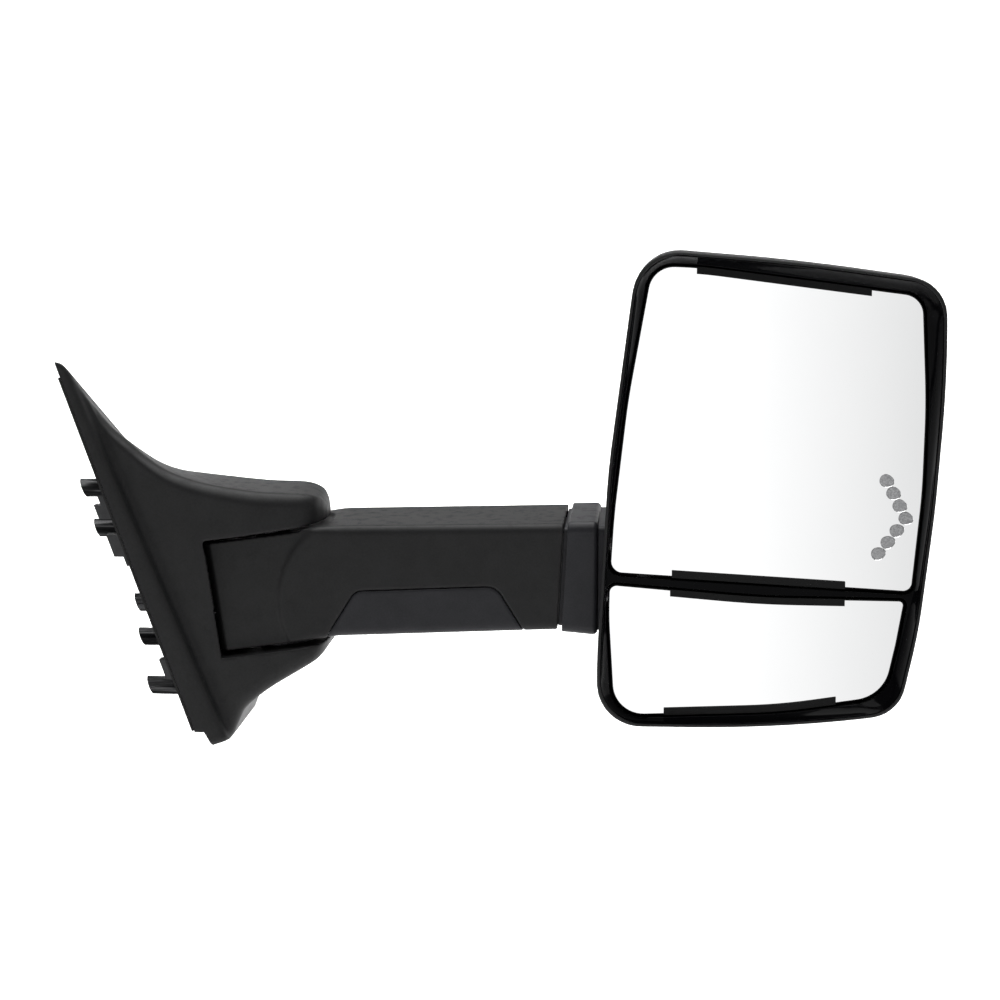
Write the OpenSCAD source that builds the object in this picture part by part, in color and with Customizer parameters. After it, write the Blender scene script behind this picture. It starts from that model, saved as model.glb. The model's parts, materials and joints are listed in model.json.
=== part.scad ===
// Full-size pickup towing mirror, passenger side: a door base with a fork, an arm that
// folds about a leaning post, and a twin-tube telescoping head with two mirror glasses.
// X points outboard, Y forward, Z up. The origin is the centre of the door face. Millimetres.

/* [Door base] */
// Lean of the door face from vertical, top inboard
door_tilt = 19.5; // [18.5:0.5:20.5]
// Thickness of the metal plate that is bolted to the door
plate_t = 6; // [5:0.5:7]
// Thickness of the foam gasket under the cover's rim
gasket_t = 2.5; // [1.5:0.5:3]
// Radius of the large fastening bosses
boss_r = 6.4; // [6:0.1:6.8]
// Tapping radius of the threads in the boss inserts
insert_bore_r = 2.5; // [2:0.1:3]
// Radius of the wiring passage through the grommet
wire_r = 5; // [3:0.5:6]

/* [Fold joint] */
// Distance from the door face's centre to the fold axis
fold_x = 96; // [95:0.5:97]
// Lean of the fold axis from vertical, top inboard
fold_tilt = 8.2; // [7.5:0.1:9]
// Radius of the pivot post
post_r = 12; // [11:0.5:12.5]
// Radius swept by the arm's knuckle
knuckle_r = 53; // [52.5:0.25:53.5]
// Height of the knuckle's upper face above the fold centre
knuckle_top = 15.8; // [15:0.2:16.4]
// Depth of the knuckle's lower face below the fold centre
knuckle_bottom = 61.4; // [61:0.2:61.8]
// Air gap between the knuckle and the fork
fork_gap = 3; // [2.5:0.1:3.4]

/* [Arm] */
// Outboard end of the arm
arm_end = 300.5; // [296:0.5:301]
// Half of the arm's front-to-back depth
arm_half_y = 39; // [38:0.5:40]
// Wall of the plastic shells
wall = 2.5; // [2:0.1:3]

/* [Slide tubes] */
// Outer radius of the slide tubes
tube_r = 8; // [7.5:0.1:8.2]
// Wall of the slide tubes
tube_wall = 1.6; // [1:0.1:2.5]
// Height of the upper tube
tube_upper_z = 6; // [5:0.5:7]
// Height of the lower tube
tube_lower_z = -31; // [-32:0.5:-30]
// Forward offset of both tubes
tube_y = 8; // [7:0.5:9]

/* [Head] */
// Rear plane of the head's rim
rim_y = -52; // [-53:0.5:-51]
// Front surface of the mirror glasses
glass_y = -40; // [-41:0.5:-40]
// Forward end of the head's dome
dome_y = 84; // [78:1:90]
// Wall of the head shell at its rim
rim_wall = 2.2; // [2:0.1:2.3]
// Thickness of the mirror glasses
glass_t = 2.2; // [1.8:0.1:2.4]
// Clearance between the glass holders and the bezel
glass_gap = 2.4; // [2.3:0.05:2.5]

/* [Mirror drive] */
// Distance from the gimbal centre to each plunger
lever = 28; // [26:0.5:30]
// Radius of the plunger balls
ball_r = 3.5; // [3:0.1:3.8]
// Running clearance of pins, bushes and tubes
running = 0.05; // [0.02:0.01:0.08]

/* [Hidden] */
// Roundness of rods, and points in each rounded corner
$fn = 48;
eps = 0.01;
corner_steps = 6;

// Air gap round the knuckle, and the bracket's two ears that carry the post
fork_side_gap = 6.5;
upper_ear_t = 11;
upper_ear_r = 26;
lower_ear_t = 7;
lower_ear_r = 17;
upper_ear_z = knuckle_top + fork_gap + wall + 0.6;
lower_ear_z = -knuckle_bottom - fork_gap - wall - 0.6;

// Fold joint: the post's bore, the nut's seat, the arm's hub and the spring's seat
post_bore_r = 7;
nut_z = upper_ear_z + upper_ear_t + 0.2;
hub_r = 27;
hub_top = 12.8;
hub_bottom = -57.8;
spring_seat_z = -10;
bush_wall = 2.5;

// Slide tubes from end to end, their housings in the arm frame, and the bushes they run in
tube_in = 150;
tube_out = 478;
tube_zs = [tube_upper_z, tube_lower_z];
housing_r = 12.6;
housing_bore_r = 10.4;
outer_bush_x = 262;
outer_bush_len = 28;
guide_end = 306.5;
end_bush_len = 18;

// Gimbal centres of the two glasses, and the holders that clip onto the gimbals
upper_c = [437, -27, 92];
lower_c = [433, -27, -60];
holder_front = glass_y + glass_t + 0.6;
holder_t = 2.4;
holder_rim = 0.6;
lip_reach = 0.9;
lip_over = 4;
lip_front = glass_y - 1.6;
pin_r = 2.5;
cup_r = 4.6;

// Cradle that joins the tubes to the head
cradle_y = 22;
cradle_t = 6;

// ---------------------------------------------------------------- outlines and lofts

function unit(v) = v / norm(v);
function turn(a) = a > 180 ? a - 360 : (a < -180 ? a + 360 : a);

// Points of the arc of radius r that rounds corner b between its neighbours a and c
function corner_arc(a, b, c, r, steps) =
  let (
    u = unit(a - b),
    v = unit(c - b),
    half = acos(u * v) / 2,
    centre = b + unit(u + v) * r / sin(half),
    from = b + u * r / tan(half) - centre,
    to = b + v * r / tan(half) - centre,
    start = atan2(from.y, from.x),
    sweep = turn(atan2(to.y, to.x) - start)
  )
  [for (i = [0:steps]) centre + r * [cos(start + sweep * i / steps), sin(start + sweep * i / steps)]];

// Closed outline through corners [x, z, radius]
function rounded(corners, steps = corner_steps) =
  let (n = len(corners), p = [for (c = corners) [c[0], c[1]]])
  [for (i = [0:n - 1]) each corner_arc(p[(i + n - 1) % n], p[i], p[(i + 1) % n], corners[i][2], steps)];

// Rim of the head, seen from behind the vehicle, as [x, z, radius]
head_corners = [
  [350.6, 215.3, 31], [458.8, 206.5, 1500], [553.2, 193.7, 27], [554.9, 128, 900],
  [549.9, 42, 700], [541.5, -40, 400], [529.7, -98.4, 26], [462, -107.9, 900],
  [400, -110, 900], [325.2, -110.6, 30], [325.2, -62, 500], [331.8, 66, 500]
];
// Upper glass
upper_corners = [
  [360.2, 203, 17], [392, 201.9, 300], [538.6, 183.4, 14], [542.9, 112, 500], [542.1, 52, 400],
  [536.6, -15.4, 6], [333.6, -5, 8], [335.9, 35, 500], [344.6, 113, 500]
];
// Lower glass
lower_corners = [
  [333.2, -13.8, 5], [435, -21.6, 700], [532.2, -22, 3], [527.4, -52, 150], [520, -88.2, 26],
  [450, -99.6, 400], [337.2, -105, 21], [332.8, -36, 250]
];

function left_of(v) = [-v.y, v.x] / norm(v);

// Clockwise corners moved outwards by grow, with radii to match
function grown(corners, grow) =
  let (n = len(corners), p = [for (c = corners) [c[0], c[1]]])
  [
    for (i = [0:n - 1])
      let (
        before = p[i] - p[(i + n - 1) % n],
        after = p[(i + 1) % n] - p[i],
        sides = left_of(before) + left_of(after),
        shift = grow * sides / (1 + left_of(before) * left_of(after)),
        bend = cross(before, after) < 0 ? grow : -grow
      )
      [p[i].x + shift.x, p[i].y + shift.y, max(corners[i][2] + bend, 1)]
  ];

module outline(corners, grow = 0) {
  polygon(rounded(grown(corners, grow)));
}

// Prism between the planes y0 and y1, of a shape drawn in X and Z
module along_y(y0, y1) {
  translate([0, y1, 0]) rotate([90, 0, 0]) linear_extrude(y1 - y0) children();
}

module rod_x(x0, x1, r) {
  translate([x0, 0, 0]) rotate([0, 90, 0]) cylinder(h = x1 - x0, r = r);
}

module rod_y(y0, y1, r) {
  translate([0, y0, 0]) rotate([-90, 0, 0]) cylinder(h = y1 - y0, r = r);
}

module rod_z(z0, z1, r) {
  translate([0, 0, z0]) cylinder(h = z1 - z0, r = r);
}

module tube_z(z0, z1, outer, inner) {
  difference() {
    rod_z(z0, z1, outer);
    rod_z(z0 - 1, z1 + 1, inner);
  }
}

module box(from, to) {
  translate(from) cube(to - from);
}

// Solid through a row of rings with equal numbers of points, each ring anticlockwise
// when it is seen from the end of the row
module loft(rings) {
  n = len(rings[0]);
  m = len(rings);
  sides = [
    for (j = [0:m - 2]) for (i = [0:n - 1]) each [
      [j * n + i, (j + 1) * n + i, j * n + (i + 1) % n],
      [j * n + (i + 1) % n, (j + 1) * n + i, (j + 1) * n + (i + 1) % n]
    ]
  ];
  polyhedron(
    points = [for (ring = rings) each ring],
    faces = concat([[for (i = [0:n - 1]) i]], sides, [[for (i = [n - 1:-1:0]) (m - 1) * n + i]])
  );
}

// Blended plastic shell, kept as one smooth-sided mesh
module moulded() {
  resize([0, 0, 0]) children();
}

// X is the outboard normal of the door face, Z runs up the face
module on_door() {
  rotate([0, -door_tilt, 0]) children();
}

// Z is the fold axis
module on_fold() {
  translate([fold_x, 0, 0]) rotate([0, -fold_tilt, 0]) children();
}

// ---------------------------------------------------------------- door base

// Each section spans a top point and a bottom point in X and Z, then rear y, front y,
// the drop of the front top corner and the corner radius
cover_sections = [
  [[-48.3, 139.7], [48.6, -134], -50, 56, 104, 5],
  [[-39.6, 135.5], [66.6, -128.1], -49.5, 55, 98, 5],
  [[-28.5, 115.5], [70, -126], -42.4, 51, 78, 7],
  [[-15, 98], [74.5, -116], -42.8, 48, 58, 9],
  [[-1.5, 85.5], [79, -107], -43.6, 45.5, 42, 10],
  [[12, 72.5], [88, -98.5], -44, 44, 26, 10],
  [[28, 61.5], [98, -91], -44, 43, 14, 10],
  [[51.6, 53], [110, -83.5], -43.6, 42, 6, 10],
  [[86, 47], [120.6, -77.2], -42.6, 41, 2, 10],
  [[113, 45], [130, -71.2], -38, 37, 0, 9],
  [[126, 42.6], [134.5, -66], -29, 28, 0, 8],
  [[131.5, 38.3], [136, -61.3], -18, 18, 0, 7],
  [[134, 33], [136.6, -58.3], -9, 9, 0, 6]
];
// How far the cover's hollow stops short of its outer edge, for its first sections
tip_solid = [0, 12, 14, 10, 6, 3];
// Sections that drop this far have a sharper top corner
steep_drop = 70;
tip_sharpness = 0.35;
// Sections at the lobes' ends that stay solid
end_solid = 2;

function cover_ring(s, inset, shift = 0, tip = 0) =
  let (
    length = norm(s[0] - s[1]),
    up = unit(s[0] - s[1]),
    low = inset * 1.3,
    high = length - inset * 1.5 - tip,
    front = high - s[4],
    r = max(s[5] - inset, 1.5),
    shape = rounded([
      [low, s[2] + inset, r], [low, s[3] - inset, r], [front, s[3] - inset, r],
      [high, s[2] + inset, s[4] > steep_drop ? r * tip_sharpness : r]
    ], 5)
  )
  [for (p = shape) [s[1].x + up.x * p.x + shift, p.y, s[1].y + up.y * p.x]];

module cover_outer() {
  loft([for (s = cover_sections) cover_ring(s, 0)]);
}

module cover_inner() {
  last = len(cover_sections) - 1 - end_solid;
  loft(concat(
    [cover_ring(cover_sections[0], wall, -12)],
    [for (i = [0:last]) cover_ring(cover_sections[i], wall, 0, i < len(tip_solid) ? tip_solid[i] : 0)]
  ));
}

// Room for the swinging knuckle
module fork_space(grow = 0) {
  gap = fork_gap + grow;
  on_fold() rod_z(-knuckle_bottom - gap, knuckle_top + gap, knuckle_r + fork_side_gap + grow);
}

// Cover screws, as [y, z] on the door face
screw_spots = [[-34, 92], [30, 40], [30, -92], [-36, -112]];

// Step in the foot of the cover, where its rim stops short
module foot_notch() {
  along_y(-70, 70) polygon([[20, -121], [52.3, -121], [60.5, -136], [60.5, -160], [20, -160]]);
}

module base_cover() {
  color("#2b2c2e")
    moulded() difference() {
      union() {
        difference() {
          cover_outer();
          difference() {
            cover_inner();
            fork_space(wall);
          }
        }
        intersection() {
          loft([for (s = cover_sections) cover_ring(s, wall / 2)]);
          on_door() for (s = screw_spots) translate([0, s[0], s[1]]) rod_x(plate_t + 0.3, 60, 5);
        }
      }
      fork_space();
      on_fold() rod_z(-78, -60, 24);
      on_fold() rod_z(15, 26, post_r + 4);
      on_door() box([-40, -90, -200], [gasket_t, 90, 200]);
      on_door() for (s = screw_spots) translate([0, s[0], s[1]]) rod_x(0, 20, 1.7);
      foot_notch();
    }
}

// Footprint of the plate on the door, as [y, z, radius]
plate_corners = [[-44, 112, 8], [48, 32, 16], [50, -122, 12], [-44, -122, 10]];

module plate(x0, x1) {
  on_door() translate([x1, 0, 0]) rotate([0, -90, 0]) linear_extrude(x1 - x0)
    polygon([for (p = rounded(plate_corners)) [p.y, p.x]]);
}

// Fastening bosses as [y, z, radius, reach from the door face]
bosses = [
  [-24, 46.5, boss_r, 17], [10, 12.3, boss_r, 28.8],
  [10, -66.7, boss_r, 26.5], [-24, -94, boss_r, 22.6]
];
// Plain locating pegs in the same form
pegs = [[-24, -34.6, 6.4, 9.8]];
// Stiffening webs on the door face between them, as [y, lowest z, highest z, reach]
webs = [
  [-24, 34.8, 42, 9.3], [-24, 24.9, 34.8, 14], [-24, -1.7, 14, 13.3],
  [-24, -8.2, -1.7, 7.2], [-24, -90, -74.8, 9.6]
];
// Half of a web's thickness
web_half = 4;
// Depth and width of the relief round them, which lets the door skin lie flat
relief = [0.6, 1.3];

// Wiring passage, as [y, z] on the door face
wire_spot = [26, -2];

function door_x(z) = -z * tan(door_tilt);

module boss(b) {
  intersection() {
    translate([0, b[0], b[1]]) rod_x(door_x(b[1]) - b[3] * 2, door_x(b[1]) + 5, b[2]);
    on_door() box([-b[3], -70, -160], [plate_t, 70, 160]);
  }
}

module web(w) {
  intersection() {
    box([-60, w[0] - web_half, w[1]], [door_x(w[1]) + 5, w[0] + web_half, w[2]]);
    on_door() box([-w[3], -70, -160], [plate_t, 70, 160]);
  }
}

module door_face_relief() {
  intersection() {
    union() {
      for (b = concat(bosses, pegs)) translate([0, b[0], b[1]]) rod_x(-80, 80, b[2] + relief[1]);
      for (w = webs) box(
        [-80, w[0] - web_half - relief[1], w[1] - relief[1]],
        [80, w[0] + web_half + relief[1], w[2] + relief[1]]
      );
    }
    on_door() box([-1, -70, -160], [relief[0], 70, 160]);
  }
}

module boss_bore(b, r, depth) {
  mouth = (-b[3] - b[1] * sin(door_tilt)) / cos(door_tilt);
  translate([0, b[0], b[1]]) rod_x(mouth - 8, mouth + depth, r);
}

// Rib that ties the plate to both ears; its upper edge starts at the given point
module bracket_rib(y, upper_edge) {
  translate([0, y + 3, 0]) rotate([90, 0, 0]) linear_extrude(6) polygon(concat(
    upper_edge,
    [[28, 45], [84, 36], [84, 31], [28, 22], [30, -66], [94, -70], [94, -76], [66, -90], [48, -104], [30, -104]]
  ));
}

module mount_bracket() {
  color("#8d8f92") difference() {
    union() {
      difference() {
        plate(0, plate_t);
        door_face_relief();
      }
      for (b = concat(bosses, pegs)) boss(b);
      for (w = webs) web(w);
      intersection() {
        union() {
          bracket_rib(-22, [[-34, 74], [-26, 74], [0, 54]]);
          bracket_rib(22, [[-22, 42], [-10, 42]]);
        }
        on_door() box([plate_t - 1, -60, -160], [160, 60, 160]);
      }
      on_fold() {
        rod_z(upper_ear_z, upper_ear_z + upper_ear_t, upper_ear_r);
        rod_z(lower_ear_z - lower_ear_t, lower_ear_z, lower_ear_r);
        box([-64, -25, lower_ear_z - lower_ear_t], [3, 25, lower_ear_z]);
      }
      on_door() translate([0, wire_spot.x, wire_spot.y]) rod_x(0, 12, 13);
    }
    on_fold() rod_z(-90, 60, post_r + 0.02);
    fork_space(wall + 0.4);
    for (b = bosses) boss_bore(b, 4.5, 22);
    on_door() translate([0, wire_spot.x, wire_spot.y]) {
      rod_x(-5, 20, 10);
      rod_x(12, 20, 13);
    }
    on_door() for (s = screw_spots) translate([0, s[0], s[1]]) {
      rod_x(-2, plate_t + 2, 2.3);
      rod_x(-2, 3, 4.4);
    }
  }
}

module door_gasket() {
  color("#1d1d1f") difference() {
    intersection() {
      cover_outer();
      on_door() box([0, -90, -128], [gasket_t, 90, 133]);
    }
    on_door() box([-1, -46, -125], [gasket_t + 1, 52, 22]);
    plate(-1, gasket_t + 1);
    on_door() translate([-1, 0, 0]) rotate([90, 0, 90]) linear_extrude(gasket_t + 2)
      polygon([[-45, 20], [51, 20], [51, 34], [-45, 117]]);
  }
}

module boss_inserts() {
  color("#b08d4a") for (b = bosses) intersection() {
    difference() {
      boss_bore(b, 4.45, 18);
      boss_bore(b, insert_bore_r, 24);
    }
    on_door() box([-b[3], -70, -160], [40, 70, 160]);
  }
}

module wiring_grommet() {
  color("#232325") on_door() translate([0, wire_spot.x, wire_spot.y]) difference() {
    union() {
      rod_x(0, 12, 9.95);
      rod_x(12.02, 15, 12.4);
      rod_x(11, 13, 9.95);
    }
    rod_x(-5, 20, wire_r);
  }
}

module cover_screws() {
  color("#5c5e61") on_door() for (s = screw_spots) translate([0, s[0], s[1]]) {
    rod_x(0.4, 2.9, 4);
    rod_x(2.9, 16, 1.65);
  }
}

// ---------------------------------------------------------------- fold joint

module pivot_post() {
  color("#9a9da1") on_fold() difference() {
    union() {
      rod_z(lower_ear_z - lower_ear_t, upper_ear_z + upper_ear_t, post_r);
      rod_z(upper_ear_z + upper_ear_t, nut_z + 6.5, post_r - 2);
      rod_z(lower_ear_z - lower_ear_t - 2, lower_ear_z - lower_ear_t, post_r + 1.6);
    }
    rod_z(-120, 90, post_bore_r);
  }
}

module pivot_nut() {
  color("#7d8084") on_fold() difference() {
    translate([0, 0, nut_z]) cylinder(h = 6, r = 16, $fn = 6);
    rod_z(nut_z - 1, nut_z + 10, post_r - 1.95);
  }
}

spring_turns = 3;
spring_r = 16.4;
spring_wire = 1.7;
spring_low = spring_seat_z + 2.2;
spring_high = 8.6;

module fold_spring() {
  steps = spring_turns * 20;
  rise = (spring_high - spring_low - 2 * spring_wire) / steps;
  color("#6d6f73") on_fold() loft([
    for (i = [0:steps]) [
      for (k = [0:7])
        let (a = i * 18, b = k * 45, r = spring_r + spring_wire * cos(b))
        [r * cos(a), r * sin(a), spring_low + spring_wire + rise * i - spring_wire * sin(b)]
    ]
  ]);
}

module spring_retainer() {
  color("#8b8e92") on_fold() tube_z(spring_high + 0.05, spring_high + 2.4, 19.4, post_r + 0.02);
}

module fixed_friction_disc() {
  color("#77797c") on_fold() difference() {
    tube_z(lower_ear_z + 0.02, hub_bottom - 2.6, 21, post_r + 0.02);
    for (a = [0:60:300]) rotate([0, 0, a]) translate([17, 0, hub_bottom - 2.9]) rod_z(-1, 1, 2);
  }
}

module moving_friction_disc() {
  color("#9b9da0") on_fold() tube_z(hub_bottom - 2.55, hub_bottom, 21.5, post_r + 0.35);
}

module pivot_bushes() {
  color("#c9c3ae") on_fold() {
    tube_z(hub_bottom, hub_bottom + 14, post_r + bush_wall - 0.02, post_r + running);
    tube_z(spring_seat_z - 14, spring_seat_z, post_r + bush_wall - 0.02, post_r + running);
    tube_z(spring_seat_z, spring_seat_z + 2, 19.6, post_r + running);
  }
}

// ---------------------------------------------------------------- arm

// Sections of the arm as x, top front, top rear, bottom, half depth and corner radius
arm_sections = [
  [34, 7, 7, -70.3, 37, 1.2],
  [106, 17.4, 17.4, -60, 37, 1.2],
  [118, 20.8, 20.6, -58.2, arm_half_y, 1.6],
  [128, 22.8, 22.2, -56.6, arm_half_y, 3],
  [139, 24.9, 23, -54.8, arm_half_y, 4],
  [146, 25.6, 23.4, -54, arm_half_y, 6],
  [306, 30.1, 27.1, -46.4, arm_half_y, 6]
];

function arm_ring(s, inset) =
  let (
    r = max(s[5] - inset, 1),
    shape = rounded([
      [-s[4] + inset, s[3] + inset, r], [s[4] - inset, s[3] + inset, r],
      [s[4] - inset, s[1] - inset, r], [-s[4] + inset, s[2] - inset, r]
    ], 5)
  )
  [for (p = shape) [s[0], p.x, p.y]];

module arm_solid(inset) {
  difference() {
    intersection() {
      loft([for (s = arm_sections) arm_ring(s, inset)]);
      union() {
        on_fold() rod_z(-100, 60, knuckle_r - inset);
        box([112, -60, -90], [400, 60, 60]);
      }
    }
    on_fold() rod_z(knuckle_top - inset, 60, 45 + inset);
    on_fold() rod_z(-100, -knuckle_bottom + inset, 45 + inset);
    translate([arm_end + 2 * inset, 0, 0]) rotate([0, 3.2, 0]) box([0, -80, -90], [60, 80, 90]);
  }
}

// Side profile of the lower cover; grown, it is the opening for it
module cover_panel(grow = 0) {
  along_y(-60, 60) outline([
    [130, -66, 1], [157.6, -21.4, 9], [255, -16.6, 12], [277, -52, 1], [277, -66, 1]
  ], grow);
}

module arm_shell() {
  difference() {
    arm_solid(0);
    arm_solid(wall);
  }
}

module arm_shroud() {
  color("#2c2d2f") moulded() difference() {
    arm_shell();
    cover_panel(0.25);
    on_fold() rod_z(-70, 40, post_r + 10);
  }
}

module arm_lower_cover() {
  color("#303135") moulded() intersection() {
    arm_shell();
    cover_panel(-0.25);
  }
}

module arm_frame() {
  color("#85878a") difference() {
    union() {
      on_fold() rod_z(hub_bottom, hub_top, hub_r);
      for (z = tube_zs) translate([0, tube_y, z]) rod_x(136, 293, housing_r);
      box([112, tube_y - 7, tube_lower_z - 8], [150, tube_y + 7, tube_upper_z + 4]);
      box([136, tube_y - 3, tube_lower_z], [293, tube_y + 3, tube_upper_z]);
      box([284, -26, -41], [293, 32, 18]);
      box([118, -22, -20], [124, 30, -8]);
    }
    on_fold() rod_z(-90, spring_seat_z + eps, post_r + bush_wall);
    on_fold() rod_z(spring_seat_z, 40, 20);
    for (z = tube_zs) translate([0, tube_y, z]) rod_x(146, 300, housing_bore_r);
    for (p = [[170, -16], [245, -16]]) translate([p[0], tube_y, p[1]]) rod_y(-10, 10, 2);
  }
}

module slide_bushes() {
  color("#d8d3c4") for (z = tube_zs) translate([0, tube_y, z]) difference() {
    rod_x(outer_bush_x, outer_bush_x + outer_bush_len, housing_bore_r - 0.02);
    rod_x(outer_bush_x - 1, outer_bush_x + outer_bush_len + 1, tube_r + running);
  }
}

module arm_end_guide() {
  color("#18181a") difference() {
    box([293.3, -35, -41], [guide_end, 35, 20]);
    box([296.6, -33.5, -39.5], [guide_end + 1, 33.5, 18.5]);
    for (z = tube_zs) translate([0, tube_y, z]) rod_x(290, 300, tube_r + 0.6);
    translate([0, -20, -13]) rod_x(290, 300, 7);
  }
}

module arm_screws() {
  color("#5c5e61") for (p = [[170, -16], [245, -16]]) translate([p[0], tube_y, p[1]]) {
    rod_y(-7, 5, 1.95);
    rod_y(-9, -7, 3.6);
  }
}

// ---------------------------------------------------------------- head structure

module slide_tubes() {
  color("#a9acb0") for (z = tube_zs) translate([0, tube_y, z]) difference() {
    rod_x(tube_in, tube_out, tube_r);
    rod_x(tube_in - 1, tube_out + 1, tube_r - tube_wall);
  }
}

module tube_end_bushes() {
  color("#d8d3c4") for (z = tube_zs) translate([0, tube_y, z]) difference() {
    rod_x(tube_in + 0.5, tube_in + end_bush_len, housing_bore_r - running);
    rod_x(tube_in - 1, tube_in + end_bush_len + 1, tube_r + 0.01);
  }
}

// The head's skin as [y, inset]: a rounded rim, straight walls, then a dome
dome_start = -16;
dome_inset = 78;
dome_rows = 9;

function dome(depth, wall_t) = [
  for (i = [0:dome_rows])
    let (a = 81 * i / dome_rows)
    [dome_start + (dome_y - depth - dome_start) * sin(a) / sin(81), wall_t + dome_inset * (1 - cos(a))]
];

skin_outer = concat([[rim_y, 1.3], [rim_y + 0.8, 0.4], [rim_y + 2.4, 0]], dome(0, 0.4));
skin_core = concat([[rim_y, rim_wall / 2]], dome(1.3, rim_wall / 2 + 0.4));
skin_inner = concat([[rim_y - 1, rim_wall], [glass_y + 3, rim_wall]], dome(2.6, rim_wall + 0.4));

module skin(rows) {
  hull() for (row = rows) along_y(row[0] - eps, row[0]) offset(r = -row[1]) outline(head_corners);
}

module head_skin() {
  difference() {
    skin(skin_outer);
    skin(skin_inner);
  }
}

// Region of the front cap, grown for its opening
module cap_region(grow = 0) {
  box([300, 6 - grow, 34 - grow], [600, 120, 260]);
}

cradle_posts = [[368, 124], [504, 116], [372, -76], [496, -72]];

module head_shell() {
  color("#28292b") moulded() difference() {
    union() {
      difference() {
        head_skin();
        cap_region(0.15);
      }
      intersection() {
        skin(skin_core);
        for (p = cradle_posts) translate([p[0], 0, p[1]]) rod_y(cradle_y + cradle_t, 90, 4.5);
        box([300, 0, -200], [600, 100, 30]);
      }
    }
    for (z = tube_zs) translate([0, tube_y, z]) rod_x(300, 345, tube_r + 1.5);
    translate([0, -20, -13]) rod_x(300, 345, 7);
    for (p = cradle_posts) translate([p[0], 0, p[1]]) rod_y(20, 44, 1.6);
  }
}

module skull_cap() {
  color("#242527") moulded() difference() {
    union() {
      intersection() {
        head_skin();
        cap_region(-0.15);
      }
      intersection() {
        skin(skin_core);
        for (p = cradle_posts) translate([p[0], 0, p[1]]) rod_y(cradle_y + cradle_t, 90, 4.5);
        box([300, 0, 40], [600, 100, 260]);
      }
    }
    for (p = cradle_posts) translate([p[0], 0, p[1]]) rod_y(20, 44, 1.6);
  }
}

module bezel() {
  front = rim_y + 0.8;
  floor_y = glass_y - 1.5;
  back = glass_y + 2;
  color("#0b0b0c") difference() {
    along_y(front, back) outline(head_corners, -rim_wall - 0.05);
    hull() {
      along_y(front - 1, front - 0.9) outline(head_corners, -rim_wall - 0.4);
      along_y(floor_y - eps, floor_y) union() {
        outline(upper_corners, glass_gap);
        outline(lower_corners, glass_gap);
      }
    }
    along_y(front, back + 1) outline(upper_corners, glass_gap);
    along_y(front, back + 1) outline(lower_corners, glass_gap);
  }
}

module head_sleeve() {
  color("#2e2f32") moulded() difference() {
    loft([for (s = [[302.6, 31, 28.2, -48.2, 40, 7], [340, 32, 29.2, -51.5, 41, 7]]) arm_ring(s, 0)]);
    loft([for (s = [[300, 31, 28.2, -48.2, 40, 7], [341, 32, 29.2, -51.5, 41, 7]]) arm_ring(s, wall)]);
    skin([for (row = skin_outer) [row[0], row[1] - 0.15]]);
    translate([arm_end + 1.8, 0, 0]) rotate([0, 3.2, 0]) box([-40, -80, -90], [0, 80, 90]);
  }
}

module head_cradle() {
  color("#85878a") difference() {
    union() {
      along_y(cradle_y, cradle_y + cradle_t) polygon(rounded([
        [359, 133, 8], [513, 125, 8], [513, 20, 20], [505, -81, 8], [363, -85, 8], [352, 10, 20]
      ]));
      for (x = [[346, 366], [456, 476]]) box([x[0], tube_y, tube_lower_z - 11], [x[1], cradle_y + 1, tube_upper_z + 11]);
      translate([lower_c.x, 0, lower_c.z]) rod_y(-19, cradle_y + 1, 10);
      for (s = [-1, 1]) translate([lower_c.x, 0, lower_c.z + s * 10.5]) box([-4, -31, -2.5], [4, -16, 2.5]);
    }
    for (z = tube_zs) translate([0, tube_y, z]) rod_x(340, 480, tube_r + 0.02);
    translate([upper_c.x, 0, upper_c.z]) rod_y(cradle_y - 1, cradle_y + 10, 26);
    translate([410, 0, -14]) rod_y(cradle_y - 1, cradle_y + 10, 14);
    translate([lower_c.x, lower_c.y, lower_c.z]) rod_z(-20, 20, pin_r + running);
    for (p = cradle_posts) translate([p[0], 0, p[1]]) rod_y(cradle_y - 1, cradle_y + 10, 2.2);
  }
}

module tube_clamps() {
  color("#7a7c80") for (x = [[346, 366], [456, 476]]) difference() {
    box([x[0], tube_y - 12, tube_lower_z - 11], [x[1], tube_y - 0.6, tube_upper_z + 11]);
    for (z = tube_zs) translate([0, tube_y, z]) rod_x(340, 480, tube_r + 0.02);
    translate([(x[0] + x[1]) / 2, 0, (tube_upper_z + tube_lower_z) / 2]) rod_y(-10, 20, 2.6);
  }
}

module clamp_screws() {
  color("#5c5e61") for (x = [356, 466]) translate([x, 0, (tube_upper_z + tube_lower_z) / 2]) {
    rod_y(tube_y - 12.2 - 4, tube_y - 12.2, 5);
    rod_y(tube_y - 12.2, tube_y - 0.3, 2.5);
  }
}

module shell_screws() {
  color("#5c5e61") for (p = cradle_posts) translate([p[0], 0, p[1]]) {
    rod_y(cradle_y - 2.6, cradle_y - 0.2, 4);
    rod_y(cradle_y - 0.2, 42, 1.55);
  }
}

// ---------------------------------------------------------------- mirror drive

pot_r = 43;
pot_back = 19;
pot_front = -11;
wheel_spots = [[lever, 0], [0, -lever]];
worm_offset = 15.4;

module at_upper() {
  translate([upper_c.x, 0, upper_c.z]) children();
}

module gimbal_ears(c, base_y) {
  for (s = [-1, 1]) translate([c.x, 0, c.z + s * 11]) box([-4, c.y - 4, -2.5], [4, base_y, 2.5]);
}

module actuator_housing() {
  color("#1f2022") difference() {
    union() {
      at_upper() difference() {
        rod_y(pot_front, pot_back, pot_r);
        rod_y(pot_front + 2.5, pot_back + 1, pot_r - 2.5);
      }
      gimbal_ears(upper_c, pot_front + 1);
    }
    at_upper() for (w = wheel_spots) translate([w[0], 0, w[1]]) rod_y(pot_front - 1, pot_front + 4, 5.6);
    translate(upper_c) rod_z(-20, 20, pin_r + running);
  }
}

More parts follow.
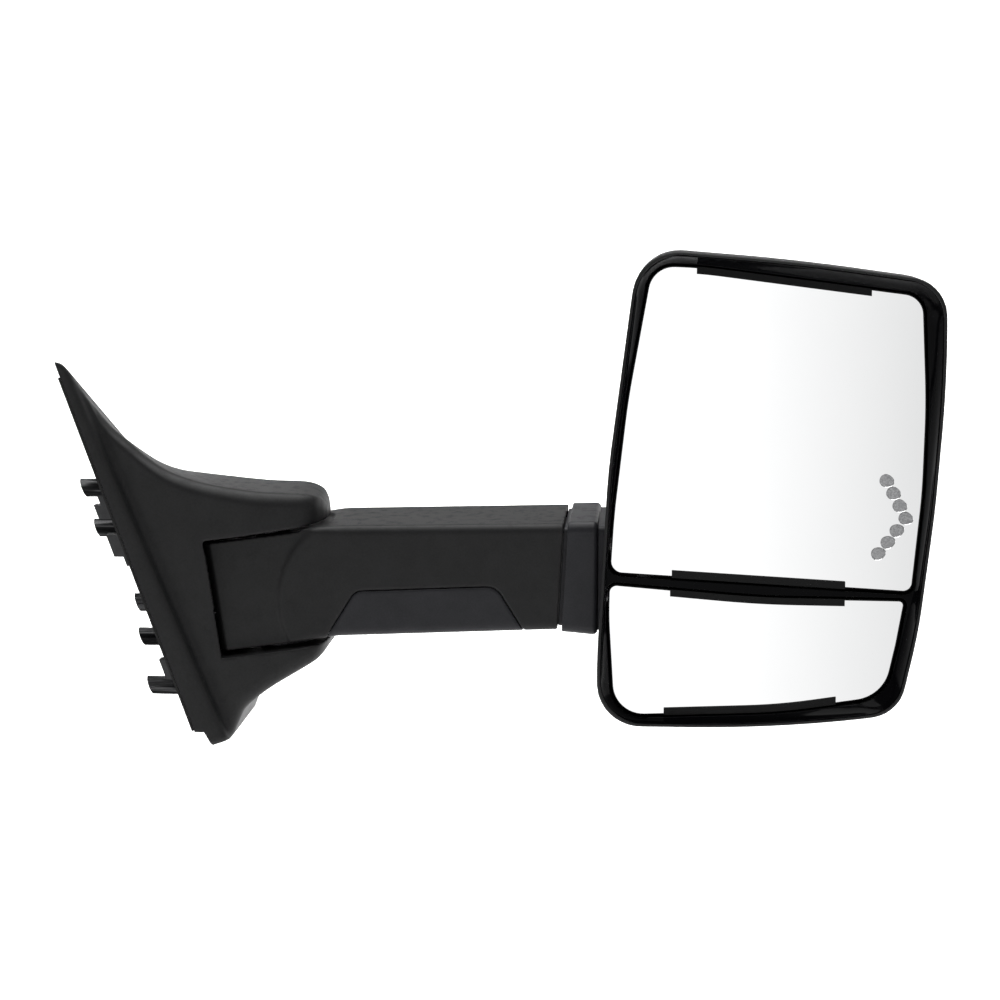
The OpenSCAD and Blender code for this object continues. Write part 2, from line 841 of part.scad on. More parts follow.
module actuator_cover() {
  color("#26272a") at_upper() difference() {
    union() {
      rod_y(pot_back - 2.4, pot_back, pot_r - 2.6);
      rod_y(pot_back, pot_back + 2.8, 24);
      for (w = wheel_spots) translate([w[0], 0, w[1]]) rod_y(6.8, pot_back - 1, 3);
    }
    for (w = wheel_spots) translate([w[0], 0, w[1]]) rod_y(6, 12, 1.2);
  }
}

module drive_motors() {
  color("#8f9194") at_upper() {
    translate([-4, 0, worm_offset]) rotate([0, 90, 0]) cylinder(h = 20, r = 7.6);
    translate([-worm_offset, 0, -16]) cylinder(h = 20, r = 7.6);
  }
}

module worm() {
  cylinder(h = 18, r = 2.4);
  for (z = [5:2:15]) translate([0, 0, z]) cylinder(h = 1, r = 3.4);
}

module drive_worms() {
  color("#c7b46a") at_upper() {
    translate([16.1, 0, worm_offset]) rotate([0, 90, 0]) worm();
    translate([-worm_offset, 0, -16.1]) mirror([0, 0, 1]) worm();
  }
}

module drive_wheel() {
  teeth = 24;
  color("#e6e2d6") difference() {
    union() {
      rod_y(-3, 3, 10.2);
      for (i = [0:teeth - 1]) rotate([0, i * 360 / teeth, 0]) box([9.5, -2.5, -0.7], [11.6, 2.5, 0.7]);
      rod_y(-6, 6, 7);
    }
    rod_y(-10, 10, 4.3);
  }
}

module pan_drive_wheel() {
  at_upper() translate([lever, 0, 0]) drive_wheel();
}

module tilt_drive_wheel() {
  at_upper() translate([0, 0, -lever]) drive_wheel();
}

module plunger() {
  color("#d9d5c8") union() {
    translate([0, upper_c.y, 0]) sphere(r = ball_r);
    rod_y(upper_c.y, pot_front - 5, 2);
    rod_y(pot_front - 5, 2, 4.2);
  }
}

module pan_plunger() {
  at_upper() translate([lever, 0, 0]) plunger();
}

module tilt_plunger() {
  at_upper() translate([0, 0, -lever]) plunger();
}

module gimbal(c) {
  color("#3a3b3e") translate(c) union() {
    box([-3.6, -3.4, -3.6], [3.6, 3.4, 3.6]);
    rod_z(-13.4, 13.4, pin_r);
    rod_x(-13.4, 13.4, pin_r);
  }
}

module upper_gimbal() {
  gimbal(upper_c);
}

module lower_gimbal() {
  gimbal(lower_c);
}

// ---------------------------------------------------------------- glasses and holders

module holder_lip(corners, x0, x1, z0, z1) {
  intersection() {
    difference() {
      along_y(lip_front, holder_front) outline(corners, lip_reach);
      along_y(glass_y - 5, glass_y - 0.05) outline(corners, -lip_over);
      along_y(glass_y - 0.05, holder_front + 1) outline(corners, 0.05);
    }
    box([x0, -80, z0], [x1, 0, z1]);
  }
}

module holder_plate(corners) {
  along_y(holder_front, holder_front + holder_t) outline(corners, holder_rim);
  difference() {
    along_y(glass_y + 0.3, holder_front) outline(corners, holder_rim);
    along_y(glass_y - 1, holder_front + 1) outline(corners, 0.05);
  }
}

module pin_ears(c) {
  for (s = [-1, 1]) difference() {
    translate([c.x + s * 11, 0, c.z]) box([-2.5, holder_front + 1, -4], [2.5, c.y + 4, 4]);
    translate(c) rod_x(-20, 20, pin_r + running);
  }
}

module ball_cup() {
  difference() {
    rod_y(holder_front + 1, upper_c.y + 4.2, 7);
    translate([0, upper_c.y, 0]) sphere(r = cup_r);
    rod_y(upper_c.y, upper_c.y + 10, 3.3);
  }
}

module upper_holder() {
  color("#2f3033") union() {
    holder_plate(upper_corners);
    holder_lip(upper_corners, 389.5, 505, 150, 230);
    holder_lip(upper_corners, 375.4, 492.4, -40, 20);
    pin_ears(upper_c);
    at_upper() for (w = wheel_spots) translate([w[0], 0, w[1]]) ball_cup();
  }
}

module upper_heater() {
  color("#c05a2e") along_y(glass_y + glass_t + 0.03, holder_front - 0.03) outline(upper_corners, -6);
}

// Drop-shaped signal lenses on a blunt chevron, as [x, z]
window_spots = [
  [518.5, 60], [523.2, 51.6], [527.6, 43.1], [531.8, 34.7], [526.1, 26.4], [520.3, 18.3], [514.2, 10.5]
];

module window_shapes(grow = 0) {
  for (i = [0:len(window_spots) - 1]) translate(window_spots[i]) rotate(i < 4 ? -20 : 20) offset(r = grow)
    intersection() {
      scale([1.22, 1]) circle(r = 4, $fn = 24);
      translate([0.4, 0]) circle(r = 4.6, $fn = 24);
    }
}

module upper_glass() {
  color("#e9ecee") along_y(glass_y, glass_y + glass_t) difference() {
    outline(upper_corners);
    window_shapes(0.02);
  }
}

module signal_windows() {
  color("#8b8d8f") along_y(glass_y, glass_y + glass_t) window_shapes();
}

module signal_board() {
  color("#2c6b3f") along_y(holder_front + holder_t + 0.1, holder_front + holder_t + 1.5)
    polygon(rounded([[509, 64, 3], [537, 64, 3], [537, 6, 3], [509, 6, 3]]));
}

module lower_holder() {
  color("#2f3033") union() {
    holder_plate(lower_corners);
    holder_lip(lower_corners, 374.4, 492.4, -40, 0);
    holder_lip(lower_corners, 371, 488, -130, -80);
    pin_ears(lower_c);
  }
}

module lower_heater() {
  color("#c05a2e") along_y(glass_y + glass_t + 0.03, holder_front - 0.03) outline(lower_corners, -6);
}

module lower_glass() {
  color("#e9ecee") along_y(glass_y, glass_y + glass_t) outline(lower_corners);
}

// ---------------------------------------------------------------- assembly

base_cover();
mount_bracket();
door_gasket();
boss_inserts();
wiring_grommet();
cover_screws();
pivot_post();
pivot_nut();
fold_spring();
spring_retainer();
fixed_friction_disc();
arm_frame();
arm_shroud();
arm_lower_cover();
arm_end_guide();
moving_friction_disc();
pivot_bushes();
slide_bushes();
arm_screws();
slide_tubes();
tube_end_bushes();
head_sleeve();
head_cradle();
tube_clamps();
clamp_screws();
head_shell();
skull_cap();
bezel();
shell_screws();
actuator_housing();
actuator_cover();
drive_motors();
drive_worms();
pan_drive_wheel();
tilt_drive_wheel();
pan_plunger();
tilt_plunger();
upper_gimbal();
upper_holder();
upper_heater();
upper_glass();
signal_board();
signal_windows();
lower_gimbal();
lower_holder();
lower_heater();
lower_glass();
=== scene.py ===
"""Looks for the towing mirror: moulded shells, glasses, materials, light and camera."""

import json
import math

import bmesh
import bpy
import numpy as np
from mathutils import Matrix, Vector
from mathutils.geometry import delaunay_2d_cdt, tessellate_polygon


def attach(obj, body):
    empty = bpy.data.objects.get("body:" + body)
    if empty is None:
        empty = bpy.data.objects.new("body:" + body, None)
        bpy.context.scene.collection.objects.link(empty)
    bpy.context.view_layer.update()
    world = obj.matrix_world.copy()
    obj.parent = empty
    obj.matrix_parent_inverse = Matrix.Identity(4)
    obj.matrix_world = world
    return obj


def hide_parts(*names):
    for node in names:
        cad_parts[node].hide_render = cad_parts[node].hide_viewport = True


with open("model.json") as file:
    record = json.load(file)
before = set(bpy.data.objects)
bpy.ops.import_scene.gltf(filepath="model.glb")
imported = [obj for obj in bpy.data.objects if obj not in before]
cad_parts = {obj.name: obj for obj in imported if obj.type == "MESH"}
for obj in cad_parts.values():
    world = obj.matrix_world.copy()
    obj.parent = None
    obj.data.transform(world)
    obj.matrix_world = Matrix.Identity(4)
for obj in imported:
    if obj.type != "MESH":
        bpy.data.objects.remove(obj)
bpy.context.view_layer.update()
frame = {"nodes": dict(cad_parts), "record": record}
NODES = frame["nodes"]
MM = 0.001

# ---------------------------------------------------------------- sizes shared with the CAD, in mm

DOOR_TILT = 19.5
FOLD_TILT = 8.2
FOLD_X = 96.0
KNUCKLE_R = 53.0
FORK_SIDE_GAP = 6.5
KNUCKLE_TOP = 15.8
KNUCKLE_BOTTOM = -61.4
FORK_GAP = 3.0
WALL = 2.5
ARM_END = 300.0
ARM_END_LEAN = 3.2
ARM_HALF_Y = 39.0
SHOULDER = 2.6
TONGUE_HALF_Y = 36.8
RIM_Y = -52.0
GLASS_Y = -40.0
GLASS_T = 2.2
GLASS_GAP = 2.4
RIM_WALL = 2.2
DOME_Y = 84.0
SLEEVE_X = 302.6
SLEEVE_LENGTH = 37.4
DOME_START = -16.0
DOME_INSET = 78.0
CAP_LOW_Z = 34.0
CAP_BACK_Y = 6.0
TUBES = [(8.0, 6.0), (8.0, -31.0)]
TUBE_R = 8.0

# Each cover section: top x, z, bottom x, z, rear y, front y, front drop, corner radius
COVER_SECTIONS = [
    (-48.3, 139.7, 48.6, -134, -50, 56, 104, 5),
    (-39.6, 135.5, 66.6, -128.1, -49.5, 55, 98, 5),
    (-28.5, 115.5, 70, -126, -42.4, 51, 78, 7),
    (-15, 98, 74.5, -116, -42.8, 48, 58, 9),
    (-1.5, 85.5, 79, -107, -43.6, 45.5, 42, 10),
    (12, 72.5, 88, -98.5, -44, 44, 26, 10),
    (28, 61.5, 98, -91, -44, 43, 14, 10),
    (51.6, 53, 110, -83.5, -43.6, 42, 6, 10),
    (86, 47, 120.6, -77.2, -42.6, 41, 2, 10),
    (113, 45, 130, -71.2, -38, 37, 0, 9),
    (126, 42.6, 134.5, -66, -29, 28, 0, 8),
    (131.5, 38.3, 136, -61.3, -18, 18, 0, 7),
    (134, 33, 136.6, -58.3, -9, 9, 0, 6),
]
# How far the hollow stops short of the outer edge, for each section that it passes through
TIP_SOLID = [0, 12, 14, 10, 6, 3, 0, 0, 0, 0, 0]
# Sections whose front corner drops this far have a sharper tip
STEEP_DROP = 70
TIP_SHARPNESS = 0.35
# Rear limit of the hollow
INNER_REAR = -43
GASKET_T = 2.5

# Arm sections: x, top front, top rear, bottom, half depth, corner radius
ARM_SECTIONS = [
    (34, 7, 7, -70.3, 39, 1.6),
    (106, 17.4, 17.4, -60, 39, 2.4),
    (118, 20.8, 20.6, -58.2, 39, 3),
    (128, 22.8, 22.2, -56.6, 39, 4),
    (139, 24.9, 23, -54.8, 39, 5),
    (146, 25.6, 23.4, -54, 39, 6),
    (306, 30.1, 27.1, -46.4, 39, 6),
]
# Shoulder beside the knuckle: centre x, z and radius
BLEND_ARC = (166.4, -28.6, 61.5)
PANEL_GAP = 0.15
CAP_GAP = 0.25

# How far the signal windows lie behind the glass's face, and their fit in it
LENS_SET_BACK = 0.12
LENS_FIT = 0.03

# Outlines seen from behind the vehicle, as (x, z, corner radius)
HEAD = [
    (350.6, 215.3, 31), (458.8, 206.5, 1500), (553.2, 193.7, 27), (554.9, 128, 900),
    (549.9, 42, 700), (541.5, -40, 400), (529.7, -98.4, 26), (462, -107.9, 900),
    (400, -110, 900), (325.2, -110.6, 30), (325.2, -62, 500), (331.8, 66, 500),
]
UPPER = [
    (360.2, 203, 17), (392, 201.9, 300), (538.6, 183.4, 14), (542.9, 112, 500), (542.1, 52, 400),
    (536.6, -15.4, 6), (333.6, -5, 8), (335.9, 35, 500), (344.6, 113, 500),
]
LOWER = [
    (333.2, -13.8, 5), (435, -21.6, 700), (532.2, -22, 3), (527.4, -52, 150), (520, -88.2, 26),
    (450, -99.6, 400), (337.2, -105, 21), (332.8, -36, 250),
]
COVER_PANEL = [(130, -66, 1), (157.6, -21.4, 9), (255, -16.6, 12), (277, -52, 1), (277, -66, 1)]
WINDOWS = [
    (518.5, 60), (523.2, 51.6), (527.6, 43.1), (531.8, 34.7), (526.1, 26.4), (520.3, 18.3), (514.2, 10.5),
]

# ---------------------------------------------------------------- outlines


def corner_arc(before, corner, after, radius, steps):
    """Points of the arc that rounds one corner of a polygon."""
    u = (before - corner) / np.linalg.norm(before - corner)
    v = (after - corner) / np.linalg.norm(after - corner)
    half = math.acos(float(np.clip(u @ v, -1, 1))) / 2
    middle = (u + v) / np.linalg.norm(u + v)
    centre = corner + middle * radius / math.sin(half)
    first = corner + u * radius / math.tan(half) - centre
    last = corner + v * radius / math.tan(half) - centre
    start = math.atan2(first[1], first[0])
    sweep = (math.atan2(last[1], last[0]) - start + math.pi) % (2 * math.pi) - math.pi
    turns = [start + sweep * i / steps for i in range(steps + 1)]
    return [centre + radius * np.array([math.cos(a), math.sin(a)]) for a in turns]


def rounded(corners, steps=12):
    """Closed outline through corners (u, v, radius)."""
    p = [np.array(c[:2], float) for c in corners]
    count = len(p)
    arcs = [
        corner_arc(p[i - 1], p[i], p[(i + 1) % count], corners[i][2], steps) for i in range(count)
    ]
    return np.array([q for arc in arcs for q in arc])


def signed_area(p):
    nxt = np.roll(p, -1, axis=0)
    return 0.5 * float(np.sum(p[:, 0] * nxt[:, 1] - nxt[:, 0] * p[:, 1]))


def densified(p, spacing=4.0):
    """The same outline with its long edges divided."""
    out = []
    for a, b in zip(p, np.roll(p, -1, axis=0)):
        parts = max(1, int(np.linalg.norm(b - a) / spacing))
        out += [a + (b - a) * k / parts for k in range(parts)]
    return np.array(out)


def along(vectors):
    """The same directions, each of length 1."""
    return vectors / np.linalg.norm(vectors, axis=1)[:, None]


def grown(p, distance):
    """Outline moved outwards along its own normals."""
    ahead = np.roll(p, -1, axis=0) - p
    behind = p - np.roll(p, 1, axis=0)
    tangent = along(along(ahead) + along(behind))
    side = 1 if signed_area(p) > 0 else -1
    return p + side * distance * np.stack([tangent[:, 1], -tangent[:, 0]], axis=1)


def without_doubles(p, least=0.02):
    """Outline with repeated points left out."""
    keep = np.linalg.norm(p - np.roll(p, 1, axis=0), axis=1) > least
    return p[keep]


def outline(corners, steps=12, spacing=4.0):
    return densified(without_doubles(rounded(corners, steps)), spacing)


def polar(points, centre, count):
    """The outline resampled at even angles around centre."""
    d = points - centre
    angle = np.unwrap(np.arctan2(d[:, 1], d[:, 0]))
    radius = np.linalg.norm(d, axis=1)
    if angle[-1] < angle[0]:
        angle, radius = angle[::-1], radius[::-1]
    angle = np.concatenate([angle - 2 * math.pi, angle, angle + 2 * math.pi])
    wanted = np.linspace(0, 2 * math.pi, count, endpoint=False)
    r = np.interp(wanted, angle, np.tile(radius, 3))
    return centre + r[:, None] * np.stack([np.cos(wanted), np.sin(wanted)], axis=1)


def smooth_rows(rows, per_step):
    """Catmull-Rom interpolation of rows of numbers."""
    rows = np.array(rows, float)
    ends = np.vstack([2 * rows[0] - rows[1], rows, 2 * rows[-1] - rows[-2]])
    out = []
    for i in range(len(rows) - 1):
        a, b, c, d = ends[i : i + 4]
        for k in range(per_step):
            t = k / per_step
            square = (2 * a - 5 * b + 4 * c - d) * t**2
            cube = (3 * b - a - 3 * c + d) * t**3
            out.append(0.5 * (2 * b + (c - a) * t + square + cube))
    return np.array(out + [rows[-1]])


# ---------------------------------------------------------------- meshes


def new_object(name, vertices, faces):
    """Smooth-shaded mesh object from points in mm, with its faces turned outwards."""
    mesh = bpy.data.meshes.new(name)
    mesh.from_pydata([tuple(float(c) * MM for c in v) for v in vertices], [], faces)
    edit = bmesh.new()
    edit.from_mesh(mesh)
    bmesh.ops.recalc_face_normals(edit, faces=edit.faces)
    edit.to_mesh(mesh)
    edit.free()
    mesh.polygons.foreach_set("use_smooth", [True] * len(mesh.polygons))
    obj = bpy.data.objects.new(name, mesh)
    bpy.context.scene.collection.objects.link(obj)
    return obj


def cap(ring, offset):
    """Triangles that close one ring."""
    return [tuple(i + offset for i in t) for t in tessellate_polygon([[Vector(p) for p in ring]])]


def loft(name, rings):
    """Closed solid through rings of equal numbers of points."""
    n, m = len(rings[0]), len(rings)
    faces = [
        (j * n + i, j * n + (i + 1) % n, (j + 1) * n + (i + 1) % n, (j + 1) * n + i)
        for j in range(m - 1)
        for i in range(n)
    ]
    faces += cap(rings[0], 0) + cap(rings[-1], (m - 1) * n)
    return new_object(name, np.concatenate(rings), faces)


def at_y(points, y):
    """A ring at one depth from an outline in x and z."""
    return np.stack([points[:, 0], np.full(len(points), y), points[:, 1]], axis=1)


def prism_y(name, points, y0, y1):
    return loft(name, [at_y(points, y0), at_y(points, y1)])


def circle(radius, count=96):
    a = np.linspace(0, 2 * math.pi, count, endpoint=False)
    return np.stack([radius * np.cos(a), radius * np.sin(a)], axis=1)


def placed(points, matrix):
    return np.array([matrix @ Vector(p) for p in points])


def rod(name, radius, start, end, matrix=Matrix.Identity(4), axis="z"):
    """Round rod along one axis of the given matrix, between two heights."""
    ring = circle(radius)
    rings = []
    for h in (start, end):
        column = np.full(len(ring), h)
        parts = {"x": (column, ring[:, 0], ring[:, 1]), "z": (ring[:, 0], ring[:, 1], column)}[axis]
        rings.append(placed(np.stack(parts, axis=1), matrix))
    return loft(name, rings)


def block(name, low, high, matrix=Matrix.Identity(4)):
    (x0, y0, z0), (x1, y1, z1) = low, high
    rings = [
        placed([(x0, y0, z), (x1, y0, z), (x1, y1, z), (x0, y1, z)], matrix) for z in (z0, z1)
    ]
    return loft(name, rings)


DOOR_FRAME = Matrix.Rotation(math.radians(-DOOR_TILT), 4, "Y")
FOLD_FRAME = Matrix.Translation((FOLD_X, 0, 0)) @ Matrix.Rotation(math.radians(-FOLD_TILT), 4, "Y")


def baked(obj):
    """Puts the modifiers' result in the mesh."""
    graph = bpy.context.evaluated_depsgraph_get()
    mesh = bpy.data.meshes.new_from_object(obj.evaluated_get(graph))
    obj.modifiers.clear()
    obj.data = mesh
    return obj


def combine(obj, tool, operation):
    boolean = obj.modifiers.new("combine", "BOOLEAN")
    boolean.operation = operation
    boolean.object = tool
    boolean.solver = "MANIFOLD"
    baked(obj)
    bpy.data.objects.remove(tool)
    return obj


def minus(obj, *tools):
    for tool in tools:
        combine(obj, tool, "DIFFERENCE")
    return obj


def plus(obj, *tools):
    for tool in tools:
        combine(obj, tool, "UNION")
    return obj


def common(obj, tool):
    return combine(obj, tool, "INTERSECT")


def smooth_faces(obj):
    obj.data.polygons.foreach_set("use_smooth", [True] * len(obj.data.polygons))
    return obj


def relax(obj, rounds):
    """Smoothing that evens out neighbouring points."""
    soften = obj.modifiers.new("soften", "SMOOTH")
    soften.factor = 0.5
    soften.iterations = rounds


def moulded(obj, voxel=0.8, rounds=4, keep=0.5):
    """Softens every edge as injection moulding does: even voxels, smoothing, fewer faces."""
    remesh = obj.modifiers.new("voxels", "REMESH")
    remesh.mode = "VOXEL"
    remesh.voxel_size = voxel * MM
    relax(obj, rounds)
    thin = obj.modifiers.new("thin", "DECIMATE")
    thin.ratio = keep
    relax(obj, 3)
    return smooth_faces(baked(obj))


def bevelled(obj, width, segments=3, angle=32):
    """Rounds the sharp edges and keeps the flats flat."""
    bevel = obj.modifiers.new("edges", "BEVEL")
    bevel.width = width * MM
    bevel.segments = segments
    bevel.limit_method = "ANGLE"
    bevel.angle_limit = math.radians(angle)
    bevel.use_clamp_overlap = False
    bevel.harden_normals = False
    weighted = obj.modifiers.new("shading", "WEIGHTED_NORMAL")
    weighted.keep_sharp = True
    weighted.weight = 80
    return smooth_faces(baked(obj))


# ---------------------------------------------------------------- door base


def cover_ring(row, inset=0.0, shift=0.0, tip=0.0):
    top, bottom = np.array([row[0], row[1]]), np.array([row[2], row[3]])
    rear, front, drop, radius = row[4:8]
    length = np.linalg.norm(top - bottom)
    up = (top - bottom) / length
    low, high = inset * 1.3, length - inset * 1.5 - tip
    shoulder = high - drop
    r = max(radius - inset, 1.5)
    tip_r = r * TIP_SHARPNESS if drop > STEEP_DROP else r
    rear, front = rear + inset, front - inset
    shape = rounded([(low, rear, r), (low, front, r), (shoulder, front, r), (high, rear, tip_r)], 10)
    return np.array([(bottom[0] + up[0] * u + shift, y, bottom[1] + up[1] * u) for u, y in shape])


def fork_space(grow=0.0):
    """Room for the swinging knuckle."""
    gap = FORK_GAP + grow
    radius = KNUCKLE_R + FORK_SIDE_GAP + grow
    return rod("fork", radius, KNUCKLE_BOTTOM - gap, KNUCKLE_TOP + gap, FOLD_FRAME)


def foot_notch():
    """Step in the foot, where the rim stops short."""
    corners = np.array([(20, -121), (20, -160), (60.5, -160), (60.5, -136), (52.3, -121)], float)
    return prism_y("foot_notch", corners, -70, 70)


def inner_row(row):
    """The hollow under the rim stays shallow, so the step beside the rim keeps a full wall."""
    return row[:4] + (max(row[4], INNER_REAR),) + row[5:]


def cover_hollow():
    """Inside of the cover, open towards the door, with a wall left round the fork."""
    inner = smooth_rows([inner_row(row) + (tip,) for row, tip in zip(COVER_SECTIONS, TIP_SOLID)], 5)
    rings = [cover_ring(COVER_SECTIONS[0], WALL, -12)] + [cover_ring(r, WALL, 0, r[8]) for r in inner]
    return minus(loft("hollow", rings), fork_space(WALL))


def make_base_cover():
    rows = smooth_rows(COVER_SECTIONS, 5)
    cover = loft("base_cover_skin", [cover_ring(r) for r in rows])
    minus(cover, cover_hollow(), fork_space())
    minus(cover, rod("lower_seat", 24, -78, -60, FOLD_FRAME), rod("post_hole", 16, 15, 26, FOLD_FRAME))
    moulded(cover)
    minus(cover, block("door_side", (-60, -90, -200), (GASKET_T, 90, 200), DOOR_FRAME), foot_notch())
    bevelled(cover, 0.5, 2, 50)
    return finished(cover, "base", "black_texture", "base_cover")


# ---------------------------------------------------------------- arm


def arm_ring(row, inset=0.0):
    x, front_z, rear_z, bottom, half, radius = row
    r = max(radius - inset, 1)
    shape = rounded(
        [
            (-half + inset, bottom + inset, r), (half - inset, bottom + inset, r),
            (half - inset, front_z - inset, r), (-half + inset, rear_z - inset, r),
        ], 8,
    )
    return np.array([(x, y, z) for y, z in shape])


def arm_block(inset):
    """The arm's box with its round knuckle, before it is hollowed."""
    body = loft("arm_body", [arm_ring(r, inset) for r in ARM_SECTIONS])
    keep = rod("knuckle", KNUCKLE_R - inset, -100, 60, FOLD_FRAME)
    plus(keep, block("outboard", (112, -60, -90), (400, 60, 60)))
    common(body, keep)
    minus(
        body,
        rod("above", 45 + inset, KNUCKLE_TOP - inset, 60, FOLD_FRAME),
        rod("below", 45 + inset, -100, KNUCKLE_BOTTOM + inset, FOLD_FRAME),
    )
    lean = Matrix.Translation((ARM_END, 0, 0)) @ Matrix.Rotation(math.radians(ARM_END_LEAN), 4, "Y")
    minus(body, block("end", (0, -80, -90), (60, 80, 90), lean))
    return body


def raised_sides(depth):
    """The arm's sides stand a little proud of its knuckle, with a round shoulder between."""
    x, z, r = BLEND_ARC
    profile = ((ARM_HALF_Y + 5, -0.6), (ARM_HALF_Y, -0.6), (depth, SHOULDER))
    profile += tuple((-y, spread) for y, spread in reversed(profile))
    rings = [at_y(circle(r + spread, 160) + np.array([x, z]), -y) for y, spread in profile]
    sides = loft("sides", rings)
    plus(sides, block("right", (x, -60, -100), (400, 60, 100)))
    core = block("core", (0, -depth, -120), (400, depth, 100))
    return plus(core, sides)


def panel_prism(grow):
    return prism_y("panel", grown(outline(COVER_PANEL, 8, 6), grow), -60, 60)


def make_arm():
    parts = (("arm_shroud", "black_texture", False), ("arm_lower_cover", "black_cover", True))
    for node, slot, in_panel in parts:
        shell = arm_block(0)
        common(shell, raised_sides(TONGUE_HALF_Y))
        minus(shell, arm_block(WALL))
        if in_panel:
            common(shell, panel_prism(-PANEL_GAP))
        else:
            minus(shell, panel_prism(PANEL_GAP), rod("post", 22, -70, 40, FOLD_FRAME))
        shell.name = node + "_skin"
        moulded(shell)
        finished(shell, "arm", slot, node)


# ---------------------------------------------------------------- head

HEAD_RING = 240
HEAD_CENTRE = np.array([440.0, 52.0])
# Exponent of the dome's rounded outline, and the arc that its crown turns through
DOME_POWER = 2.6
DOME_SWEEP = math.radians(81)


def head_ring(inset, y, soften=0.0):
    """Ring of the head at one depth: the rim's outline drawn in by inset on every side."""
    base = polar(outline(HEAD), HEAD_CENTRE, HEAD_RING)
    d = base - HEAD_CENTRE
    half = np.abs(d).max(axis=0)
    shape = d * (1 - inset / half)
    angle = np.arctan2(d[:, 1], d[:, 0])
    ellipse = (np.abs(np.cos(angle)) / (half[0] - inset)) ** DOME_POWER
    ellipse += (np.abs(np.sin(angle)) / (half[1] - inset)) ** DOME_POWER
    r = ellipse ** (-1 / DOME_POWER)
    rounder = np.stack([r * np.cos(angle), r * np.sin(angle)], axis=1)
    return at_y(HEAD_CENTRE + shape * (1 - soften) + rounder * soften, y)


def dome_rings(depth, wall, rows=26):
    """Rings of the crowned front, drawn in ever faster towards its tip."""
    rings = []
    rise = (DOME_Y - depth - DOME_START) / math.sin(DOME_SWEEP)
    for i in range(rows + 1):
        a = DOME_SWEEP * i / rows
        draw = 1 - math.cos(a)
        rings.append(head_ring(wall + DOME_INSET * draw, DOME_START + rise * math.sin(a), 0.55 * draw))
    return rings


def head_outer():
    lip = [(RIM_Y, 1.5), (RIM_Y + 0.35, 0.75), (RIM_Y + 0.95, 0.25), (RIM_Y + 1.8, 0.0), (RIM_Y + 4, 0.0)]
    side = [(-38.0, 0.1), (-28.0, 0.2)]
    return loft("head_outer", [head_ring(i, y) for y, i in lip + side] + dome_rings(0, 0.4))


def head_inner():
    rim = [(RIM_Y - 1, RIM_WALL), (GLASS_Y + 3, RIM_WALL), (-28.0, RIM_WALL + 0.2)]
    return loft("head_inner", [head_ring(i, y) for y, i in rim] + dome_rings(2.6, RIM_WALL + 0.4))


def cap_box(grow):
    """Region of the front cap."""
    return block("cap_region", (300, CAP_BACK_Y - grow, CAP_LOW_Z - grow), (600, 120, 260))


def make_head_shells():
    for node, in_cap in (("head_shell", False), ("skull_cap", True)):
        shell = minus(head_outer(), head_inner())
        if in_cap:
            common(shell, cap_box(-CAP_GAP))
        else:
            minus(shell, cap_box(CAP_GAP))
            for y, z in TUBES:
                minus(shell, rod("tube_hole", TUBE_R + 1.5, 300, 345, Matrix.Translation((0, y, z)), "x"))
        shell.name = node + "_skin"
        bevelled(shell, 0.5)
        finished(shell, "head", "black_texture", node)


def sleeve_ring(x, inset, lean=0.0):
    """Ring of the sleeve, which widens a little towards the head."""
    grow = (x - SLEEVE_X) / SLEEVE_LENGTH
    row = (x, 31 + grow, 28.2 + grow, -48.2 - 3.3 * grow, 40 + grow, 7)
    ring = arm_ring(row, inset)
    ring[:, 0] += ring[:, 2] * math.tan(math.radians(ARM_END_LEAN)) * lean
    return ring


def sleeve_collar(left):
    """Step inside the sleeve that fills the gap at the arm's end."""
    steps = ((-2.6, WALL + 1.5), (1.2, WALL + 1.5), (1.3, WALL - 0.3), (6, WALL - 0.3))
    collar = loft("collar", [sleeve_ring(left + x, inset, 1) for x, inset in steps])
    hollow = loft("collar_hollow", [sleeve_ring(left + x, WALL + 2.8, 1) for x in (-4, 8)])
    return minus(collar, hollow)


def make_sleeve():
    left, turn_x, turn_r = SLEEVE_X + 0.4, 321.5, 3.6
    outer = [sleeve_ring(left + x, inset, 1) for x, inset in ((0, 0.9), (0.25, 0.35), (0.9, 0))]
    outer += [sleeve_ring(312, 0, 0.7), sleeve_ring(turn_x, 0, 0.2)]
    outer += [
        sleeve_ring(turn_x + turn_r * math.sin(a), turn_r * (1 - math.cos(a)), 0)
        for a in np.radians([15, 30, 45, 60, 75, 88])
    ]
    sleeve = loft("head_sleeve_skin", outer + [sleeve_ring(352, turn_r, 0)])
    hollow = [sleeve_ring(left - 3, WALL, 1), sleeve_ring(312, WALL, 0.7), sleeve_ring(320, WALL + 1, 0.2)]
    minus(sleeve, loft("hollow", hollow + [sleeve_ring(356, 6, 0)]))
    plus(sleeve, sleeve_collar(left))
    minus(sleeve, head_outer())
    bevelled(sleeve, 0.4, 2, 40)
    finished(sleeve, "head", "black_cover", "head_sleeve")


def turn(a, b, c):
    """Positive where the path a, b, c turns left."""
    return (b[0] - a[0]) * (c[1] - a[1]) - (b[1] - a[1]) * (c[0] - a[0])


def hull(points):
    """Convex hull of points in a plane, anticlockwise."""
    p = sorted(map(tuple, points))

    def chain(seq):
        out = []
        for q in seq:
            while len(out) > 1 and turn(out[-2], out[-1], q) <= 1e-9:
                out.pop()
            out.append(q)
        return out[:-1]

    return np.array(chain(p) + chain(p[::-1]))


